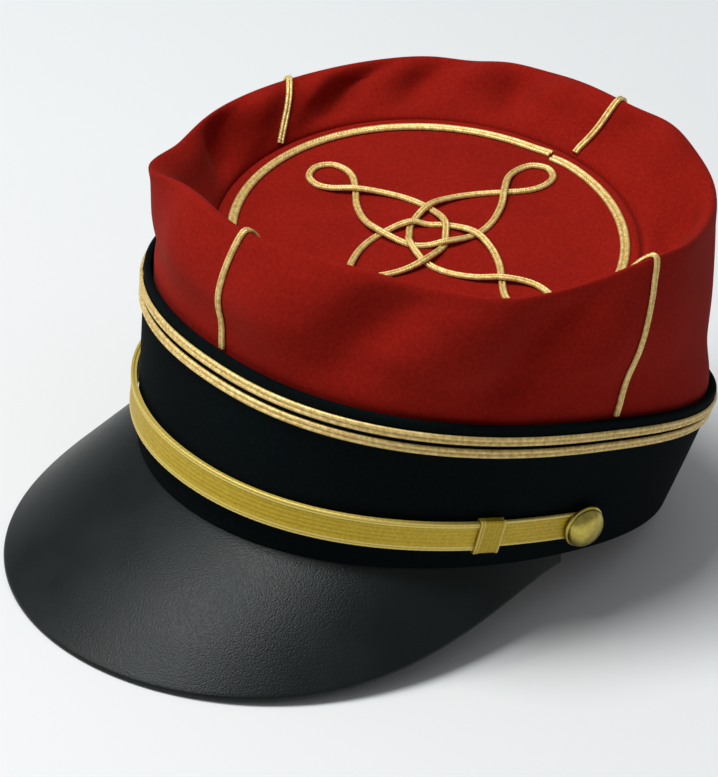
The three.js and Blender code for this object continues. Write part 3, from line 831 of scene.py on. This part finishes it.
class Nodes:
    """Short hand for building a shader tree."""

    def __init__(self, name):
        self.material = bpy.data.materials.new(name)
        self.material.use_nodes = True
        self.tree = self.material.node_tree
        self.shader = self.tree.nodes["Principled BSDF"]

    def node(self, kind, inputs=None, **settings):
        made = self.tree.nodes.new(kind)
        for key, value in settings.items():
            setattr(made, key, value)
        for key, value in (inputs or {}).items():
            if isinstance(value, bpy.types.NodeSocket):
                self.tree.links.new(value, made.inputs[key])
            else:
                made.inputs[key].default_value = value
        return made

    def coordinates(self):
        return self.node("ShaderNodeTexCoord").outputs["Object"]

    def noise(self, vector, scale, detail, roughness):
        return self.node("ShaderNodeTexNoise", {
            "Vector": vector, "Scale": scale, "Detail": detail, "Roughness": roughness,
        }).outputs["Fac"]

    def ramp(self, factor, stops):
        made = self.node("ShaderNodeValToRGB", {"Fac": factor})
        elements = made.color_ramp.elements
        while len(elements) < len(stops):
            elements.new(0.5)
        for element, (place, colour) in zip(elements, stops):
            element.position = place
            element.color = (*colour, 1)
        return made.outputs["Color"]

    def blend(self, factor, first, second, kind="MIX"):
        made = self.node("ShaderNodeMix", data_type="RGBA", blend_type=kind)
        for key, value in ((0, factor), (6, first), (7, second)):
            if isinstance(value, bpy.types.NodeSocket):
                self.tree.links.new(value, made.inputs[key])
            else:
                made.inputs[key].default_value = value
        return made.outputs[2]

    def maths(self, kind, first, second=0.0, clamp=False):
        made = self.node("ShaderNodeMath", operation=kind, use_clamp=clamp)
        for key, value in ((0, first), (1, second)):
            if isinstance(value, bpy.types.NodeSocket):
                self.tree.links.new(value, made.inputs[key])
            else:
                made.inputs[key].default_value = value
        return made.outputs[0]

    def bump(self, height, strength, distance):
        inputs = {"Height": height, "Strength": strength, "Distance": distance}
        return self.node("ShaderNodeBump", inputs).outputs["Normal"]

    def finish(self, values, links):
        for key, value in values.items():
            self.shader.inputs[key].default_value = value
        for key, socket in links.items():
            self.tree.links.new(socket, self.shader.inputs[key])
        return self.material


def wool(name, deep, main, lit, sheen, sheen_tint, grain):
    """Fulled wool cloth: a fine matted nap with faint clouding."""
    n = Nodes(name)
    where = n.coordinates()
    nap = n.noise(where, 2200, 4, 0.65)
    fibre = n.noise(where, 800, 3, 0.6)
    cloud = n.noise(where, 38, 3, 0.55)
    tone = n.maths("ADD", n.maths("MULTIPLY", nap, 0.55), n.maths("MULTIPLY", fibre, 0.45))
    cloth = n.ramp(tone, [(0.3, deep), (0.52, main), (0.74, lit)])
    cloud_tint = n.ramp(cloud, [(0.3, (0.90, 0.90, 0.90)), (0.7, (1.05, 1.05, 1.05))])
    colour = n.blend(1.0, cloth, cloud_tint, "MULTIPLY")
    normal = n.bump(tone, grain, 0.0004)
    return n.finish(
        {"Roughness": 0.92, "Sheen Weight": sheen, "Sheen Roughness": 0.45,
         "Sheen Tint": (*sheen_tint, 1), "Specular IOR Level": 0.05},
        {"Base Color": colour, "Normal": normal},
    )


def leather():
    """Black grained leather with a soft polish."""
    n = Nodes("black_leather")
    where = n.coordinates()
    bend = n.maths("MULTIPLY", n.noise(where, 300, 2, 0.5), 0.0006)
    drift = n.node("ShaderNodeCombineXYZ", {"X": bend, "Y": bend, "Z": bend}).outputs[0]
    shifted = n.node("ShaderNodeVectorMath", {0: where, 1: drift}, operation="ADD").outputs[0]
    cells = n.node("ShaderNodeTexVoronoi", {"Vector": shifted, "Scale": 1700.0, "Randomness": 1.0},
                   feature="F1").outputs["Distance"]
    fine = n.noise(where, 3300, 3, 0.6)
    broad = n.noise(where, 45, 2, 0.5)
    height = n.maths("ADD", n.maths("MULTIPLY", cells, -0.7), n.maths("MULTIPLY", fine, 0.35))
    rough = n.maths("ADD", 0.32, n.maths("MULTIPLY", broad, 0.12))
    colour = n.ramp(broad, [(0.3, (0.0040, 0.0060, 0.0058)), (0.7, (0.0075, 0.0105, 0.0100))])
    return n.finish(
        {"Specular IOR Level": 0.19},
        {"Base Color": colour, "Roughness": rough, "Normal": n.bump(height, 0.5, 0.00023)},
    )


def gold_thread():
    """Metal thread over a core: fine slanted windings with painted shade in their grooves and painted
    highlights on their crests, lighter in random patches.
    """
    n = Nodes("gold_braid")
    uv = n.node("ShaderNodeSeparateXYZ", {0: n.node("ShaderNodeUVMap", uv_map="UVMap").outputs["UV"]})
    slant = n.maths("ADD", uv.outputs["X"], n.maths("ABSOLUTE", uv.outputs["Y"]))
    winding_relief_and_shade = n.maths("SINE", n.maths("MULTIPLY", slant, 2 * math.pi / (TWIST_PITCH / 2)))
    wander = n.noise(n.coordinates(), 700, 3, 0.6)
    # Painted light: the windings darken the grooves as painted shade and lighten the crests as painted
    # highlight, and the lightest ramp stop is a painted highlight colour.
    tone = n.maths("ADD", n.maths("MULTIPLY", winding_relief_and_shade, 0.16), wander)
    colour = n.ramp(tone, [(0.25, (0.44, 0.27, 0.06)), (0.5, (0.76, 0.53, 0.17)), (0.8, (0.98, 0.82, 0.40))])
    height = n.maths("ADD", winding_relief_and_shade, n.maths("MULTIPLY", wander, 1.2))
    return n.finish(
        {"Metallic": 0.4, "Roughness": 0.4},
        {"Base Color": colour, "Normal": n.bump(height, 0.3, 0.0001)},
    )


def lace(name, cords):
    """Flat gold lace: a yellow body of fine ridges with pale cords along it."""
    n = Nodes(name)
    uv = n.node("ShaderNodeSeparateXYZ", {0: n.node("ShaderNodeUVMap", uv_map="UVMap").outputs["UV"]})
    across = uv.outputs["Y"]
    pale = 0.0
    for at in cords:
        away = n.maths("ABSOLUTE", n.maths("SUBTRACT", across, at))
        near = n.maths("SUBTRACT", 1.0, n.maths("MULTIPLY", away, 1 / (1.6 * CORD_WIDTH)), clamp=True)
        pale = n.maths("MAXIMUM", pale, near)
    ridges = n.maths("COSINE", n.maths("MULTIPLY", across, math.pi * RIDGE_COUNT))
    ribs = n.maths("SINE", n.maths("MULTIPLY", uv.outputs["X"], 2 * math.pi / (RIB_PITCH / 2)))
    wander = n.noise(n.coordinates(), 900, 2, 0.5)
    uneven = n.maths("ADD", n.maths("MULTIPLY", wander, 0.45), 0.275)
    tone = n.maths("ADD", uneven, n.maths("MULTIPLY", n.maths("ADD", ridges, ribs), 0.05))
    body = n.ramp(tone, [(0.3, (0.38, 0.25, 0.008)), (0.5, (0.50, 0.34, 0.014)), (0.72, (0.62, 0.45, 0.03))])
    colour = n.blend(n.maths("MULTIPLY", pale, 0.9), body, (0.86, 0.70, 0.22, 1))
    height = n.maths("ADD", uneven, n.maths("MULTIPLY", ribs, 0.3))
    return n.finish(
        {"Metallic": 0.45, "Roughness": 0.4},
        {"Base Color": colour, "Normal": n.bump(height, 0.4, 0.0001)},
    )


def gilt():
    """Satin gilt brass with faint rubbing marks."""
    n = Nodes("gilt_button")
    where = n.coordinates()
    rub = n.noise(where, 400, 4, 0.6)
    drawn_out = n.node("ShaderNodeMapping", {"Vector": where, "Scale": (1, 6, 1)}).outputs[0]
    scratch = n.noise(drawn_out, 900, 3, 0.6)
    colour = n.ramp(rub, [(0.3, (0.38, 0.30, 0.055)), (0.7, (0.58, 0.47, 0.11))])
    rough = n.maths("ADD", 0.25, n.maths("MULTIPLY", scratch, 0.14))
    return n.finish(
        {"Metallic": 1.0},
        {"Base Color": colour, "Roughness": rough, "Normal": n.bump(scratch, 0.12, 0.0001)},
    )


MATERIALS = {
    "red_wool": wool(
        "red_wool", deep=(0.175, 0.0045, 0.0024), main=(0.242, 0.0082, 0.0040),
        lit=(0.312, 0.0145, 0.0075), sheen=0.05, sheen_tint=(1.0, 0.30, 0.22), grain=0.35,
    ),
    "black_wool": wool(
        "black_wool", deep=(0.0008, 0.0018, 0.0020), main=(0.0017, 0.0036, 0.0042),
        lit=(0.0035, 0.007, 0.008), sheen=0.0, sheen_tint=(0.5, 0.7, 1.0), grain=0.3,
    ),
    "black_leather": leather(),
    "gold_braid": gold_thread(),
    "gilt_button": gilt(),
}


# ---- assembly ----

def attach(piece, node, slot, material=None):
    piece.data.materials.append(material or MATERIALS[slot])
    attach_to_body(piece, "root")
    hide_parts(node)


def build_cap():
    attach(build_crown_cloth(), "crown_wall", "red_wool")
    attach(build_top_cloth(), "crown_top", "red_wool")
    attach(build_band_cloth(), "band", "black_wool")
    attach(build_visor_leather(), "visor", "black_leather")
    for name, drop in BAND_BRAID_DROPS.items():
        attach(build_band_braid(name, drop), name, "gold_braid")
    for name, angle in CROWN_BRAID_ANGLES.items():
        attach(build_crown_braid(name, angle), name, "gold_braid")
    attach(build_ring_braid(), "top_ring_braid", "gold_braid")
    attach(build_knot_braid(), "top_knot_braid", "gold_braid")
    under = build_strap("strap_under_lace", STRAP_END_ANGLE, STRAP_HEIGHT, STRAP_OFFSET, UNDER_CORDS)
    attach(under, "strap_under", "gold_lace", lace("lace_under", UNDER_CORDS))
    over_reach = SLIDE_ANGLE + SLIDE_HALF_ANGLE
    over = build_strap("strap_over_lace", over_reach, STRAP_OVER_HEIGHT, STRAP_OVER_OFFSET, OVER_CORDS)
    attach(over, "strap_over", "gold_lace", lace("lace_over", OVER_CORDS))
    slide_lace = lace("lace_slide", SLIDE_CORDS)
    for side, sign in (("left", 1), ("right", -1)):
        slide = build_slide("slide_loop_" + side, sign * SLIDE_ANGLE)
        attach(slide, "strap_slide_" + side, "gold_lace", slide_lace)
        attach(build_button("button_dome_" + side, sign * BUTTON_ANGLE), "button_" + side, "gilt_button")


# ---- floor, light and camera ----

VIEW = {"azimuth": 40.7, "elevation": 23.7, "roll": 14.0, "distance": 1.301, "lens": 175.3}
VIEW_AIM = np.array([-0.0103, -0.0206, 0.0277])


FLOOR_HALF_SIZE = 6.0
FLOOR_DROP = 0.0001             # keeps the floor just clear of the faces that rest on it
LIGHT_AIM = Vector((0, 0, 0.06))


def build_floor():
    corners = [(x * FLOOR_HALF_SIZE, y * FLOOR_HALF_SIZE, 0) for x, y in ((-1, -1), (1, -1), (1, 1), (-1, 1))]
    data = bpy.data.meshes.new("floor")
    data.from_pydata(corners, [], [(0, 1, 2, 3)])
    floor = bpy.data.objects.new("floor", data)
    floor.location.z = -FLOOR_DROP
    bpy.context.scene.collection.objects.link(floor)
    n = Nodes("floor_paper")
    cloud = n.noise(n.coordinates(), 3, 2, 0.5)
    tint = n.ramp(cloud, [(0.3, (0.745, 0.745, 0.745)), (0.7, (0.765, 0.765, 0.765))])
    data.materials.append(n.finish({"Roughness": 0.9}, {"Base Color": tint}))


def add_light(name, azimuth, elevation, distance, size, power, colour):
    light = bpy.data.lights.new(name, "AREA")
    light.shape = "DISK"
    light.size = size
    light.energy = power
    light.color = colour
    lamp = bpy.data.objects.new(name, light)
    a, e = math.radians(azimuth), math.radians(elevation)
    way = Vector((math.sin(a) * math.cos(e), -math.cos(a) * math.cos(e), math.sin(e)))
    lamp.location = LIGHT_AIM + distance * way
    lamp.rotation_euler = (LIGHT_AIM - lamp.location).to_track_quat("-Z", "Y").to_euler()
    bpy.context.scene.collection.objects.link(lamp)


def build_lights():
    world = bpy.data.worlds.new("studio")
    world.use_nodes = True
    background = world.node_tree.nodes["Background"]
    background.inputs["Color"].default_value = (0.92, 0.96, 1.0, 1)
    background.inputs["Strength"].default_value = 0.30
    bpy.context.scene.world = world
    add_light("overhead", -30, 70, 2.4, 1.1, 52, (0.96, 0.99, 1.0))
    add_light("key", -32, 36, 2.2, 0.7, 11, (1.0, 0.98, 0.95))


def build_camera():
    a, e = math.radians(VIEW["azimuth"]), math.radians(VIEW["elevation"])
    roll = math.radians(VIEW["roll"])
    back = np.array([math.sin(a) * math.cos(e), -math.cos(a) * math.cos(e), math.sin(e)])
    right = np.array([math.cos(a), math.sin(a), 0.0])
    up = np.cross(back, right)
    tilted_right = math.cos(roll) * right + math.sin(roll) * up
    tilted_up = math.cos(roll) * up - math.sin(roll) * right
    place = lean_back(VIEW_AIM + back * VIEW["distance"]) + OFFSET
    axes = [Vector(lean_back(v)) for v in (tilted_right, tilted_up, back)]
    turn = Matrix(axes).transposed().to_4x4()
    data = bpy.data.cameras.new("camera")
    data.lens = VIEW["lens"]
    camera = bpy.data.objects.new("camera", data)
    camera.matrix_world = Matrix.Translation(Vector(place)) @ turn
    bpy.context.scene.collection.objects.link(camera)
    bpy.context.scene.camera = camera


build_cap()
build_floor()
build_lights()
build_camera()
bpy.context.scene.view_settings.view_transform = "Standard"
